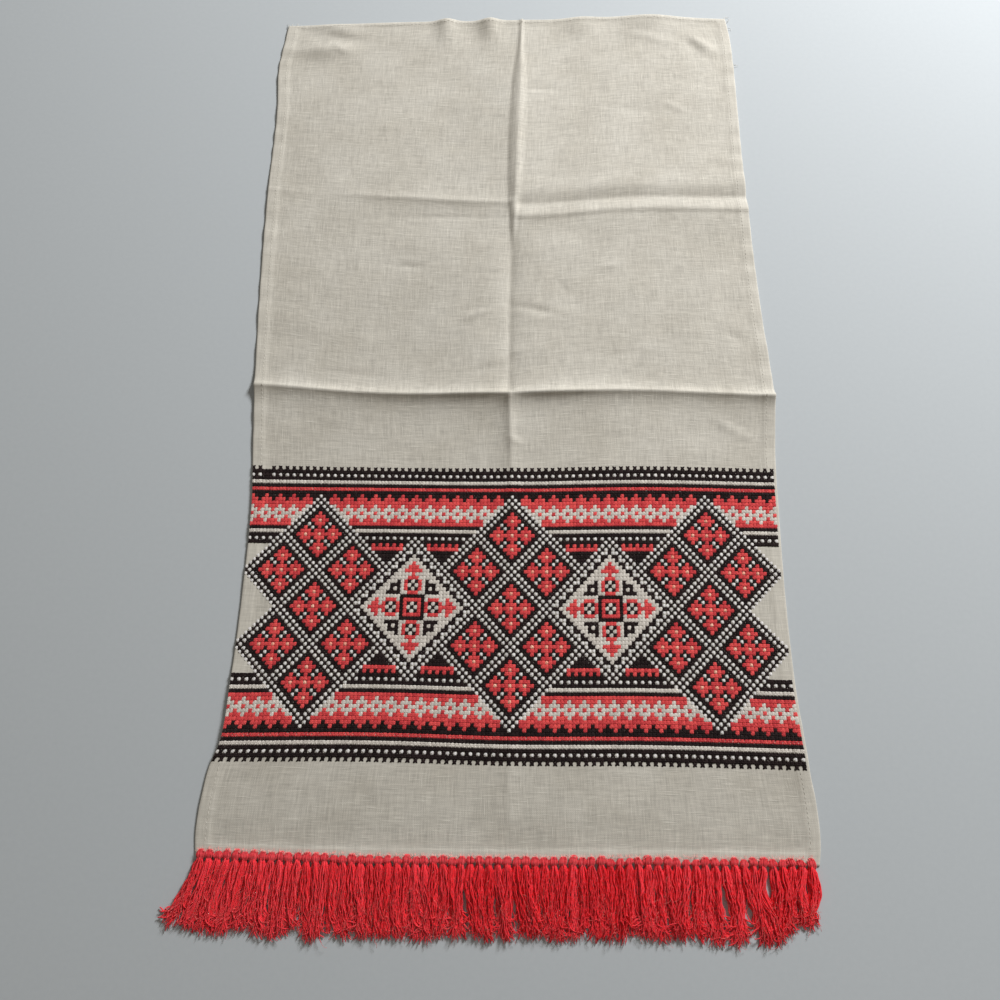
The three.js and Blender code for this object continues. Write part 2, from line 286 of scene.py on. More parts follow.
# How far the tips of the fringe lean to the right of their knots, by place along the hem
LEANS = table("x lean", [
    (-200, -20.0),
    (-180, -15.5),
    (-160, -9.0),
    (-140, -3.5),
    (-119, -0.5),
    (-60, 0.0),
    (60, 0.5),
    (150, 2.0),
    (180, -1.5),
    (199, -8.0),
])

# Places where neighbouring bundles part, and how wide the gap is at the tips
PARTINGS = table("x width", [
    (-112, 7.0),
    (-48, 2.0),
    (19, 3.0),
    (68, 3.0),
    (136, 17.0),
    (149.5, 15.0),
])

# Bundles that lie aslant on their neighbours, and how far their yarn turns, in radians
SLANTS = table("x turn", [
    (-45, -0.14),
    (-24, 0.27),
    (-7, 0.2),
    (9, 0.24),
    (68, -0.14),
    (113, -0.3),
])

# Slits that open between bundles and close again, and how far down the strands, from 0 to 1
SLITS = table("x width down", [
    (164, 9.0, 0.36),
    (189.5, 4.0, 0.42),
    (-55, 3.0, 0.5),
    (46, 3.0, 0.4),
])

# How long the crimped strands are along the hem
FRINGE_LENGTHS = table("x length", [
    (-200, 44.5),
    (-150, 44.0),
    (-100, 44.0),
    (100, 43.5),
    (140, 43.5),
    (163, 44.5),
    (173, 40.0),
    (182, 36.5),
    (200, 35.5),
])


def hermite(start, end, start_slope, end_slope, t):
    """A smooth curve from one value to another, with the slopes it has at its ends."""
    t2 = t * t
    t3 = t2 * t
    return (
        (2 * t3 - 3 * t2 + 1) * start
        + (t3 - 2 * t2 + t) * start_slope
        + (3 * t2 - 2 * t3) * end
        + (t3 - t2) * end_slope
    )


def read(rows, column, at):
    """A smooth curve through one column of a table, by its first column."""
    x, y = next(iter(rows.values())), rows[column]
    at = np.asarray(at, float)
    i = np.clip(np.searchsorted(x, at, side="right") - 1, 0, len(x) - 2)
    span = np.diff(x)[i]
    rises = np.diff(y) / np.diff(x)
    before = rises[np.maximum(i - 1, 0)]
    after = rises[np.minimum(i + 1, len(rises) - 1)]
    t = np.clip((at - x[i]) / span, 0, 1)
    return hermite(y[i], y[i + 1], (before + rises[i]) / 2 * span, (rises[i] + after) / 2 * span, t)


def bow(u, v):
    """How far the crosswise thread at v has moved up at u."""
    u, v = np.broadcast_arrays(np.asarray(u, float), np.asarray(v, float))
    heights = np.stack([read(BOWS, name, v) for name in BOW_COLUMNS])
    rises = np.diff(heights, axis=0)
    along = (np.clip(u, -1, 1) + 1) * len(rises) / 2
    i = np.minimum(along.astype(int), len(rises) - 1)

    def pick(values, index):
        return np.take_along_axis(values, index[None], 0)[0]

    here = pick(rises, i)
    before = pick(rises, np.maximum(i - 1, 0))
    after = pick(rises, np.minimum(i + 1, len(rises) - 1))
    start, end = pick(heights, i), pick(heights, i + 1)
    return hermite(start, end, (before + here) / 2, (here + after) / 2, along - i)


def place(u, v):
    """Where a point of the cloth lies in plan, and how far right of the fold."""
    fold = read(SECTIONS, "fold", v)
    edge = np.where(u < 0, read(SECTIONS, "left", v), read(SECTIONS, "right", v))
    across = np.abs(u) * (edge - fold)
    return fold + across, v + bow(u, v), across


def step(at, start, end):
    """A smooth rise from 0 to 1."""
    t = np.clip((at - start) / (end - start), 0, 1)
    return t * t * (3 - 2 * t)


def bump(distance, reach):
    """A soft rise from 0 to 1 and back, about a line."""
    return np.exp(-((distance / reach) ** 2))


def crest(distance, reach):
    """A ridge's section: steep beside its line, easing out over its reach."""
    away = np.sqrt(distance**2 + CREST_ROUNDING**2)
    return 0.5 * np.exp(-away / reach) + 0.5 * np.exp(-CREST_STEEPNESS * away / reach)


def mounds(rows, x, y):
    """Heights of a table of long mounds, each turned from the X axis."""
    height = 0
    for middle_x, middle_y, along, wide, degrees, rise in zip(*rows.values()):
        dx, dy, turn = x - middle_x, y - middle_y, np.radians(degrees)
        ahead = dx * np.cos(turn) + dy * np.sin(turn)
        aside = dy * np.cos(turn) - dx * np.sin(turn)
        height = height + rise * bump(ahead, along) * bump(aside, wide)
    return height


def tuck(across, v):
    """The flat tuck along the upper fold: a slope up from its left edge, and a steeper one down."""
    start = read(TUCK, "start", v)
    end = read(TUCK, "end", v)
    line = start + TUCK_LINE * (end - start)
    up = np.clip((across - start) / (line - start), 0, 1)
    down = np.clip((end - across) / (end - line), 0, 1)
    beyond = TUCK_FOOT * np.exp(-np.maximum(0, across - end) / TUCK_SLOPE)
    rising = 1 - (1 - up) ** 1.7
    falling = TUCK_FOOT + (1 - TUCK_FOOT) * down**1.2
    height = np.where(across < line, rising, np.where(across < end, falling, beyond))
    return read(TUCK, "height", v) * height


def fold_heights(across, v):
    """Heights of the lengthwise fold: a ridge, a trough between the crosswise folds and a tuck above."""
    below = 1 - step(v, NEAR_FOLD - 3, NEAR_FOLD + 3)
    above = step(v, TUCK["v"][0], TUCK["v"][0] + TUCK_LENGTH)
    ridge = read(FOLD_RIDGE, "height", v) * crest(across, RIDGE_REACH)
    trough = TROUGH_RISE * (1 - crest(across, TROUGH_SLOPE)) * bump(across, TROUGH_REACH)
    swell = SWELL_RISE * bump(across, SWELL_REACH)
    return below * ridge + (1 - below - above) * trough + above * (swell + tuck(across, v))


def lift(u, v):
    """Height of the cloth's underside above the floor."""
    x, y, across = place(u, v)
    height = fold_heights(across, v)
    near = v - NEAR_FOLD
    near_reach = np.where(near < 0, read(NEAR_RIDGE, "reach", x), NEAR_RIDGE_FAR_REACH)
    height = height + read(NEAR_RIDGE, "height", x) * crest(near, near_reach)
    far = v - FAR_FOLD
    far_ridge = read(FAR_RIDGE, "height", x) * crest(far, read(FAR_RIDGE, "reach", x))
    right = step(across, -2, 8)
    height = height + (1 - right) * far_ridge + right * read(FAR_TROUGH, "height", far)
    height = height + mounds(LIFTS, x, v) + mounds(CREASES, x, y) + ripples(x, y, u, v)
    held = step(v, BOTTOM_HEM, BOTTOM_HEM + HEM_HOLD)
    return np.maximum(0, height * held)


def ripples(x, y, u, v):
    """Slow unevenness of cloth that was folded and laid out, livelier along the side hems."""
    slow = 0.42 * np.sin(x / 31 + 0.6 * np.sin(y / 47)) * np.sin(y / 39 + 0.5 * np.sin(x / 58))
    fine = 0.13 * np.sin(x / 13 + y / 41) * np.sin(y / 11 - x / 67)
    soft = 0.09 * np.sin(y / 5.5 + 2.2 * np.sin(x / 37 + y / 83)) * (0.5 + 0.5 * np.sin(x / 29 - y / 61))
    pucker = 0.3 * np.sin(v / 3.6 + 1.5 * np.sin(v / 17)) * np.sin(v / 29 + 2 * np.sign(u))
    beside = step(np.abs(u), 0.9, 0.985)
    loose = step(v, 266, 300)
    return 0.45 + (slow + fine + soft) * (0.4 + 0.6 * loose) + pucker * beside * (0.4 + 0.6 * loose)


def hem_share(u, v):
    """1 on a turned hem and 0 on the single cloth."""
    inner = 1 - SIDE_HEM / NOMINAL_HALF
    edge = 2.0 / NOMINAL_HALF
    side = step(np.abs(u), inner - edge, inner)
    bottom = 1 - step(v, BOTTOM_HEM - 1, BOTTOM_HEM + 1)
    top = step(v, CLOTH_LENGTH - TOP_HEM - 1, CLOTH_LENGTH - TOP_HEM + 1)
    return np.maximum(side, np.maximum(bottom, top))


def top_of(u, v):
    """Height of the cloth's upper face."""
    return lift(u, v) + CLOTH_THICKNESS + HEM_EXTRA * hem_share(u, v)


# The plan's zero in the row frame, from the cloth's own box
cloth_low, cloth_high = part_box("cloth")
every_v = np.linspace(0, CLOTH_LENGTH, 688)
SHIFT = np.array([
    cloth_high.x / MM - read(SECTIONS, "right", every_v).max(),
    cloth_low.y / MM - bow(np.linspace(-1, 1, 201), 0.0).min(),
    cloth_low.z / MM,
])


def to_frame(x, y, z):
    """Points of the plan in the row frame, in metres."""
    return (np.stack(np.broadcast_arrays(x, y, z), -1) + SHIFT) * MM


# Mesh making


def add_object(name, data):
    """A new object of the scene from its mesh, light or camera."""
    made = bpy.data.objects.new(name, data)
    bpy.context.scene.collection.objects.link(made)
    return made


def make_piece(name, points, quads, triangles, material, uv, tone, smooth=True):
    """A mesh riding on the towel, with a uv pair for each corner, quads first, and a tone for each point."""
    mesh = bpy.data.meshes.new(name)
    points = np.asarray(points, np.float32).reshape(-1, 3)
    quads = np.asarray(quads, np.int32).reshape(-1, 4)
    triangles = np.asarray(triangles, np.int32).reshape(-1, 3)
    corners = np.concatenate([quads.ravel(), triangles.ravel()])
    sizes = np.concatenate([np.full(len(quads), 4), np.full(len(triangles), 3)]).astype(np.int32)
    starts = np.concatenate([[0], np.cumsum(sizes)[:-1]]).astype(np.int32)
    mesh.vertices.add(len(points))
    mesh.vertices.foreach_set("co", points.ravel())
    mesh.loops.add(len(corners))
    mesh.loops.foreach_set("vertex_index", corners)
    mesh.polygons.add(len(sizes))
    mesh.polygons.foreach_set("loop_start", starts)
    mesh.polygons.foreach_set("loop_total", sizes)
    mesh.update(calc_edges=True)
    mesh.polygons.foreach_set("use_smooth", np.full(len(sizes), smooth))
    layer = mesh.uv_layers.new(name="threads")
    layer.uv.foreach_set("vector", np.asarray(uv, np.float32).ravel())
    attribute = mesh.attributes.new("tone", "FLOAT", "POINT")
    attribute.data.foreach_set("value", np.asarray(tone, np.float32).ravel())
    mesh.materials.append(material)
    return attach(add_object(name, mesh), "root")


def tubes(lines, radii, sides):
    """Closed tubes round lines of equally many points: their points, quads, triangles and corner uv.

    lines is (tube, station, 3) in millimetres of the frame, and radii is (tube, station).
    """
    count, stations = lines.shape[:2]
    ahead = np.gradient(lines, axis=1)
    ahead /= np.linalg.norm(ahead, axis=2, keepdims=True) + 1e-9
    side = np.cross(ahead, [0.0, 0.0, 1.0])
    side /= np.linalg.norm(side, axis=2, keepdims=True) + 1e-9
    up = np.cross(side, ahead)
    angle = np.arange(sides) * 2 * np.pi / sides
    ring = side[:, :, None] * np.cos(angle)[:, None] + up[:, :, None] * np.sin(angle)[:, None]
    rings = lines[:, :, None] + ring * radii[:, :, None, None]
    cap = radii[:, [0, -1], None] * 0.6 * ahead[:, [0, -1]]
    ends = lines[:, [0, -1]] + cap * np.array([-1.0, 1.0])[:, None]
    points = np.concatenate([rings.reshape(count, -1, 3), ends], 1)
    per_tube = stations * sides + 2
    i, j = (part.ravel() for part in np.meshgrid(np.arange(stations - 1), np.arange(sides), indexing="ij"))
    k = (j + 1) % sides
    quad = np.stack([i * sides + j, i * sides + k, (i + 1) * sides + k, (i + 1) * sides + j], 1)
    first = np.arange(sides)
    after = (first + 1) % sides
    last = (stations - 1) * sides
    start_cap = np.stack([after, first, np.full(sides, stations * sides)], 1)
    end_cap = np.stack([last + first, last + after, np.full(sides, stations * sides + 1)], 1)
    triangle = np.concatenate([start_cap, end_cap])
    offsets = (np.arange(count) * per_tube)[:, None, None]
    length = np.concatenate([
        np.zeros((count, 1)),
        np.cumsum(np.linalg.norm(np.diff(lines, axis=1), axis=2), 1),
    ], 1)
    around = np.stack([j, j + 1, j + 1, j], 1) / sides
    along = length[:, np.stack([i, i, i + 1, i + 1], 1)]
    quad_uv = np.stack([np.broadcast_to(around, along.shape), along], -1)
    cap_around = np.stack([first + 1, first, first + 0.5], 1) / sides
    cap_uv = np.zeros((count, 2 * sides, 3, 2))
    cap_uv[:, :, :, 0] = np.concatenate([cap_around, cap_around])
    cap_uv[:, sides:, :, 1] = length[:, -1, None, None]
    uv = np.concatenate([quad_uv.reshape(-1, 2), cap_uv.reshape(-1, 2)])
    return points.reshape(-1, 3), quad + offsets, triangle + offsets, uv, per_tube


def tube_piece(name, lines, radii, sides, material, tone):
    """Tubes round lines of the plan as one mesh, with a tone for each tube."""
    points, quads, triangles, uv, per_tube = tubes(lines + SHIFT, radii, sides)
    return make_piece(name, points * MM, quads, triangles, material, uv, np.repeat(tone, per_tube))


# Materials

LINEN_DARK = (0.520, 0.488, 0.425, 1)
LINEN_LIGHT = (0.596, 0.566, 0.504, 1)
LINEN_SLUB = (0.74, 0.71, 0.63, 1)
# The darker linen of the gaps between threads is painted shade
LINEN_GAP_SHADE = (0.36, 0.335, 0.28, 1)
LINEN_HEM = (0.70, 0.665, 0.59, 1)
LINEN_SHEEN = (1.0, 0.98, 0.93, 1)
FLOOR_DARK = (0.47, 0.50, 0.52, 1)
FLOOR_LIGHT = (0.50, 0.53, 0.55, 1)
SPECULAR = 0.12
SHEEN_ROUGHNESS = 0.5
YARN_ROUGHNESS = 0.88
GROOVE_SHADE = 0.45
LIGHT_SPREAD = 1.2
SPREAD_SHARES = (1.0, 0.35, 0.35)
FIBRES_AROUND = 9
SLUB_THREADS = 1.7

# Groups of the linen's threads: how many are in one, how far it stays even along the warp and the weft, a
# seed, and its weight
THREAD_GROUPS = [
    (1.0, 18.0, 15.0, 3.0, 0.50),
    (2.6, 42.0, 50.0, 41.0, 0.36),
    (6.0, 80.0, 100.0, 67.0, 0.08),
]


class Look:
    """A procedural material, built node by node round its shader."""

    def __init__(self, name):
        self.material = bpy.data.materials.new(name)
        self.material.use_nodes = True
        self.tree = self.material.node_tree
        self.shader = self.tree.nodes["Principled BSDF"]

    def node(self, kind, values=(), **settings):
        """A new node with values or links for its inputs."""
        made = self.tree.nodes.new("ShaderNode" + kind)
        for key, value in settings.items():
            setattr(made, key, value)
        for key, value in dict(values).items():
            self.put(made.inputs[key], value)
        return made

    def put(self, socket, value):
        if isinstance(value, bpy.types.NodeSocket):
            self.tree.links.new(value, socket)
        else:
            socket.default_value = value

    def maths(self, operation, *values):
        made = self.node("Math", operation=operation)
        for socket, value in zip(made.inputs, values):
            self.put(socket, value)
        return made.outputs[0]

    def mix(self, share, a, b, blend="MIX"):
        made = self.node("Mix", data_type="RGBA", blend_type=blend)
        self.put(made.inputs["Factor"], share)
        self.put(made.inputs["A"], a)
        self.put(made.inputs["B"], b)
        return made.outputs["Result"]

    def noise(self, vector, scale, detail):
        made = self.node("TexNoise", {"Vector": vector, "Scale": scale, "Detail": detail})
        return made.outputs["Fac"]

    def spread(self, value, low, high, start=0.0, end=1.0):
        made = self.node("MapRange", {
            "Value": value, "From Min": low, "From Max": high, "To Min": start, "To Max": end,
        })
        return made.outputs[0]

    def bump(self, height, strength, distance, below=None):
        values = {"Height": height, "Strength": strength, "Distance": distance}
        if below is not None:
            values["Normal"] = below
        return self.node("Bump", values).outputs["Normal"]

    def soften(self, weight, depth):
        """Lets light spread inside the fibres, red light the furthest, over a depth in metres."""
        self.shader.inputs["Subsurface Weight"].default_value = weight
        self.shader.inputs["Subsurface Radius"].default_value = SPREAD_SHARES
        self.shader.inputs["Subsurface Scale"].default_value = depth

    def finish(self, colour, normal, roughness, sheen=0.0, tint=(1, 1, 1, 1)):
        self.put(self.shader.inputs["Base Color"], colour)
        self.put(self.shader.inputs["Normal"], normal)
        self.shader.inputs["Roughness"].default_value = roughness
        self.shader.inputs["Specular IOR Level"].default_value = SPECULAR
        self.shader.inputs["Sheen Weight"].default_value = sheen
        self.shader.inputs["Sheen Roughness"].default_value = SHEEN_ROUGHNESS
        self.shader.inputs["Sheen Tint"].default_value = tint
        return self.material


def linen_look():
    """Plain-woven linen: crossing threads, thicker and thinner along their length, and paler hems."""
    look = Look("linen_cloth")
    uv = look.node("UVMap", uv_map="threads").outputs["UV"]
    parts = look.node("SeparateXYZ", {"Vector": uv})
    warp, weft = parts.outputs["X"], parts.outputs["Y"]

    def streaks(across, along, length, seed):
        """A value for each thread that changes slowly along it."""
        place_in = look.node("CombineXYZ", {
            "X": across, "Y": look.maths("DIVIDE", along, length), "Z": seed,
        })
        return look.noise(place_in.outputs[0], 1.0, 1.0)

    def weighed(count, length, slack, seed):
        """Both sets of threads, in groups of a few, each group thicker and thinner along its length."""
        warps = streaks(look.maths("DIVIDE", warp, count), weft, length, seed)
        wefts = streaks(look.maths("DIVIDE", weft, count), warp, slack, seed + 8.0)
        return look.maths("ADD", look.maths("MULTIPLY", warps, 0.5), look.maths("MULTIPLY", wefts, 0.5))

    warp_slub = look.spread(streaks(look.maths("DIVIDE", warp, SLUB_THREADS), weft, 22.0, 23.0), 0.64, 0.74)
    weft_slub = look.spread(streaks(look.maths("DIVIDE", weft, SLUB_THREADS), warp, 26.0, 31.0), 0.62, 0.72)
    crossing = look.maths(
        "MULTIPLY",
        look.maths("COSINE", look.maths("MULTIPLY", warp, np.pi)),
        look.maths("COSINE", look.maths("MULTIPLY", weft, np.pi)),
    )
    pillow = look.maths("ABSOLUTE", crossing)
    weave = look.maths("MULTIPLY_ADD", crossing, 0.3, pillow)
    mottle = look.spread(look.noise(uv, 0.016, 5.0), 0.3, 0.7)
    hem = look.node("Attribute", attribute_name="tone").outputs["Fac"]

    threads = 0.0
    for *group, weight in THREAD_GROUPS:
        threads = look.maths("MULTIPLY_ADD", weighed(*group), weight, threads)
    colour = look.mix(mottle, LINEN_DARK, LINEN_LIGHT)
    shade = look.spread(threads, 0.33, 0.62, 0.74, 1.26)
    colour = look.mix(1.0, colour, look.node("CombineColor", {
        "Red": shade, "Green": shade, "Blue": shade,
    }).outputs[0], "MULTIPLY")
    slubs = look.maths("MAXIMUM", warp_slub, weft_slub)
    colour = look.mix(look.maths("MULTIPLY", slubs, 0.4), colour, LINEN_SLUB)
    # Painted shade: darker in the gaps between the threads, where the weave dips
    colour = look.mix(look.spread(pillow, 0.0, 0.5, 0.30, 0.0), colour, LINEN_GAP_SHADE)
    colour = look.mix(look.maths("MULTIPLY", hem, 0.22), colour, LINEN_HEM)

    uneven = look.maths("ADD", threads, look.maths("MULTIPLY", slubs, 0.5))
    normal = look.bump(uneven, 0.35, 0.3 * MM, look.bump(weave, 0.5, 0.12 * MM))
    return look.finish(colour, normal, 0.9, 0.12, LINEN_SHEEN)


def yarn_look(name, dark, light, fuzz, twist, ply_depth, sheen, soft=0.0, groove_shade_share=0.45):
    """Plied yarn: twisted strands with fine fibres along them, some a little lighter or darker."""
    look = Look(name)
    uv = look.node("UVMap", uv_map="threads").outputs["UV"]
    parts = look.node("SeparateXYZ", {"Vector": uv})
    around, along = parts.outputs["X"], parts.outputs["Y"]
    tone = look.node("Attribute", attribute_name="tone").outputs["Fac"]
    phase = look.maths("ADD", look.maths("MULTIPLY", around, 2.0), look.maths("DIVIDE", along, twist))
    ply = look.maths("ABSOLUTE", look.maths("SINE", look.maths("MULTIPLY", phase, np.pi)))
    fibre_place = look.node("CombineXYZ", {
        "X": look.maths("MULTIPLY", phase, FIBRES_AROUND),
        "Y": look.maths("MULTIPLY", along, 0.9),
        "Z": look.maths("MULTIPLY", tone, 50.0),
    })
    fibres = look.noise(fibre_place.outputs[0], 1.0, 2.0)
    shade = look.maths("MULTIPLY_ADD", fibres, 0.7, look.maths("MULTIPLY", tone, 0.65))
    colour = look.mix(look.spread(shade, 0.25, 1.05), (*dark, 1), (*light, 1))
    # Painted shade: the grooves between the plies are darkened, as shade falls in them
    between = [GROOVE_SHADE * part for part in dark]
    colour = look.mix(look.spread(ply, 0.0, 0.45, groove_shade_share, 0.0), colour, (*between, 1))
    normal = look.bump(ply, 0.6, ply_depth * MM)
    normal = look.bump(fibres, 0.5, ply_depth * 0.6 * MM, normal)
    look.soften(soft, LIGHT_SPREAD * MM)
    return look.finish(colour, normal, YARN_ROUGHNESS, sheen, (*fuzz, 1))


# The cloth


def stations(*runs):
    """Places along the cloth from runs of (start, end, step), one more than a multiple of three of them."""
    places = [np.linspace(a, b, max(2, round((b - a) / gap) + 1)) for a, b, gap in runs]
    made = np.unique(np.concatenate(places).round(4))
    while (len(made) - 1) % 3:
        widest = np.argmax(np.diff(made))
        made = np.insert(made, widest + 1, (made[widest] + made[widest + 1]) / 2)
    return made


def grid_faces(columns, rows, start=0, flip=False):
    """Quads of a grid of points, counted row by row."""
    i, j = np.meshgrid(np.arange(rows - 1), np.arange(columns - 1), indexing="ij")
    a = (start + i * columns + j).ravel()
    quads = np.stack([a, a + 1, a + columns + 1, a + columns], 1)
    return quads[:, ::-1] if flip else quads


def rim(columns, rows, start=0):
    """The points round a grid's edge, anticlockwise."""
    bottom = np.arange(columns - 1)
    right = np.arange(rows - 1) * columns + columns - 1
    top = (rows - 1) * columns + np.arange(columns - 1, 0, -1)
    left = np.arange(rows - 1, 0, -1) * columns
    return start + np.concatenate([bottom, right, top, left])


def make_cloth(look):
    """The sheet: a fine upper face over an underside with every third of its points, closed at the rim."""
    hem = NOMINAL_HALF - SIDE_HEM
    half = stations(
        (0, 9, 1.3), (9, hem - 0.9, 2.15), (hem - 0.9, hem, 0.45), (hem, NOMINAL_HALF, 1.6),
        (NOMINAL_HALF - 0.5, NOMINAL_HALF, 0.5),
    ) / NOMINAL_HALF
    across = np.concatenate([-half[:0:-1], half])
    top_hem = CLOTH_LENGTH - TOP_HEM
    up = stations(
        (0, 0.5, 0.5), (0.5, BOTTOM_HEM - 0.4, 1.4), (BOTTOM_HEM - 0.4, BOTTOM_HEM + 0.5, 0.45),
        (BOTTOM_HEM + 0.5, NEAR_FOLD - 8, 2.15), (NEAR_FOLD - 8, NEAR_FOLD + 8, 1.2),
        (NEAR_FOLD + 8, FAR_FOLD - 20, 2.1), (FAR_FOLD - 20, FAR_FOLD + 8, 1.4),
        (FAR_FOLD + 8, top_hem - 0.5, 2.15), (top_hem - 0.5, top_hem + 0.4, 0.45),
        (top_hem + 0.4, CLOTH_LENGTH - 0.5, 1.4), (CLOTH_LENGTH - 0.5, CLOTH_LENGTH, 0.5),
    )
    u, v = np.meshgrid(across, up)
    x, y, _ = place(u, v)
    upper = to_frame(x, y, top_of(u, v))
    rounding = np.maximum(np.abs(u) == 1, (v == 0) | (v == CLOTH_LENGTH))
    upper[..., 2] -= EDGE_ROUNDING * MM * rounding
    under_u, under_v = u[::3, ::3], v[::3, ::3]
    under_x, under_y, _ = place(under_u, under_v)
    under = to_frame(under_x, under_y, lift(under_u, under_v))
    rows, columns = u.shape
    under_rows, under_columns = under_u.shape
    start = rows * columns
    edge = rim(columns, rows)
    under_edge = rim(under_columns, under_rows, start)
    fans = []
    for i, below in enumerate(under_edge):
        above = edge[[3 * i, 3 * i + 1, 3 * i + 2, (3 * i + 3) % len(edge)]]
        for a, b in zip(above[:-1], above[1:]):
            fans.append((below, b, a))
        fans.append((below, under_edge[(i + 1) % len(under_edge)], above[-1]))
    quads = np.concatenate([
        grid_faces(columns, rows),
        grid_faces(under_columns, under_rows, start, flip=True),
    ])
    points = np.concatenate([upper.reshape(-1, 3), under.reshape(-1, 3)])
    threads = np.concatenate([
        np.stack([u * NOMINAL_HALF, v], -1).reshape(-1, 2),
        np.stack([under_u * NOMINAL_HALF, under_v], -1).reshape(-1, 2),
    ]) / THREAD_PITCH
    corners = np.concatenate([quads.ravel(), np.array(fans).ravel()])
    tone = np.concatenate([hem_share(u, v).ravel(), hem_share(under_u, under_v).ravel()])
    return make_piece("linen_sheet", points, quads, fans, look, threads[corners], tone)


# The chart of the band: k black, x a thin black cross beside dots, r red, n a thin red cross, w white,
# l a white line, d a white dot on black, c a pale stitch painting the glint at a petal's heart, and . bare
# linen


def lattice_thread(across, up, cell, cells):
    """The trellis of small diamonds, each with a red flower of five petals."""
    if cell in (9, 11):
        return "d"
    if cell in (8, 10):
        return "x"
    if cell == 7:
        return "k"
    a, b = min(cells, key=lambda centre: abs(across - centre[0]) + abs(up - centre[1]))
    small, large = sorted((abs(across - a), abs(up - b)))
    if small == large and small in (2, 3):
        return "d"
    # The pale stitch at the heart of the flower and of each petal paints a glint
    if (small, large) in ((0, 0), (0, 4)):
        return "c"
    if small + large <= 2 or small + abs(large - 4) <= 2:
        return "r"
    return "k"


def medallion_thread(dx, dy):
    """The large white diamond between two trellises, with its cross of five squares."""
    reach = dx + dy
    if reach >= 17:
        return "d" if reach % 2 else "x"
    if reach == 16:
        return "d" if dx % 2 else "x"
    if reach == 15:
        return "k"
    near, far = sorted((dx, dy))
    butterfly = near >= 4 and far <= 6 and not near == far == 5
    if far == 3 or butterfly or (near, far) == (4, 7):
        return "k"
    square = far if far <= 3 else abs(far - 6)
    ring = max(square, near)
    if far <= 8 and near <= 2:
        if ring == 2:
            return "w" if far > 3 and square == 2 and near == 2 else "r"
        return "w" if square + near == 1 else "k"
    arrow = {9: 0, 10: 2, 11: 1, 12: 0}
    return "r" if near <= arrow.get(far, -1) else "w"


def border_thread(column, row, dx):
    """The rows above and below the trellis."""
    fourth = column % 4
    even = column % 2 == 0
    rules = {
        -8: "x" if even else ".",
        -6: "d" if even else "x",
        -4: "l",
        -2: "n",
        0: "r" if fourth == 0 else "k",
        1: "k" if fourth == 2 else "r",
        2: "r",
        3: "w" if fourth == 0 else "r",
        4: "r" if fourth == 2 else "w",
        5: "r" if fourth == 0 else "w",
        6: "r" if fourth == 2 else "w",
        7: "w" if fourth == 0 else "r",
        8: "r",
        10: "l",
        12: "d" if even else "x",
        14: "r" if 4 <= dx <= 12 and dx % 2 == 0 else "k",
        15: "r" if 4 <= dx <= 12 else "k",
    }
    return rules.get(row, "k")


# Places where the sewer missed a stitch or took the wrong thread
SLIPS = {(-72, -8): ".", (-72, -6): "k"}


def thread_at(column, row):
    """Code of one cross-stitch. The pattern repeats along the band and mirrors about its middle row."""
    if (column, row) in SLIPS:
        return SLIPS[column, row]
    across = abs((column + REPEAT // 2) % REPEAT - REPEAT // 2)
    up = min(row, 2 * MIDDLE_ROW - row)
    cells = ((0, 11), (10, 21), (0, MIDDLE_ROW))
    cell = min(abs(across - a) + abs(up - b) for a, b in cells)
    if cell <= LATTICE_REACH:
        return lattice_thread(across, up, cell, cells)
    dx = REPEAT // 2 - across
    dy = MIDDLE_ROW - up
    in_medallion = dx + dy <= MEDALLION_REACH
    bare_end = abs(column) > REPEAT and up >= 14 and in_medallion
    if bare_end or abs(column) > 62 and 14 <= up <= 21:
        return "."
    if in_medallion and up > 11 and not (up == 15 and dx >= 4):
        return medallion_thread(dx, dy)
    return border_thread(column, up, dx)


def cells_of(code):
    """The column and row of every cross-stitch with one code."""
    return np.array([
        (column, row)
        for row in range(FIRST_ROW, LAST_ROW + 1)
        for column in range(-LAST_COLUMN, LAST_COLUMN + 1)
        if thread_at(column, row) == code
    ], float)


def strand_template(rise):
    """Points of one strand: its place along and aside, in halves of its length and width, and its height."""
    tip = STRAND_TIP_HEIGHT
    side = STRAND_SIDE_HEIGHT
    template = [(-1, 0, tip)]
    for end in (-STRAND_SHOULDER, STRAND_SHOULDER):
        template += [(end, -1, side), (end, 0, rise), (end, 1, side), (end, 0, STRAND_ROOT_HEIGHT)]
    return [*template, (1, 0, tip)]


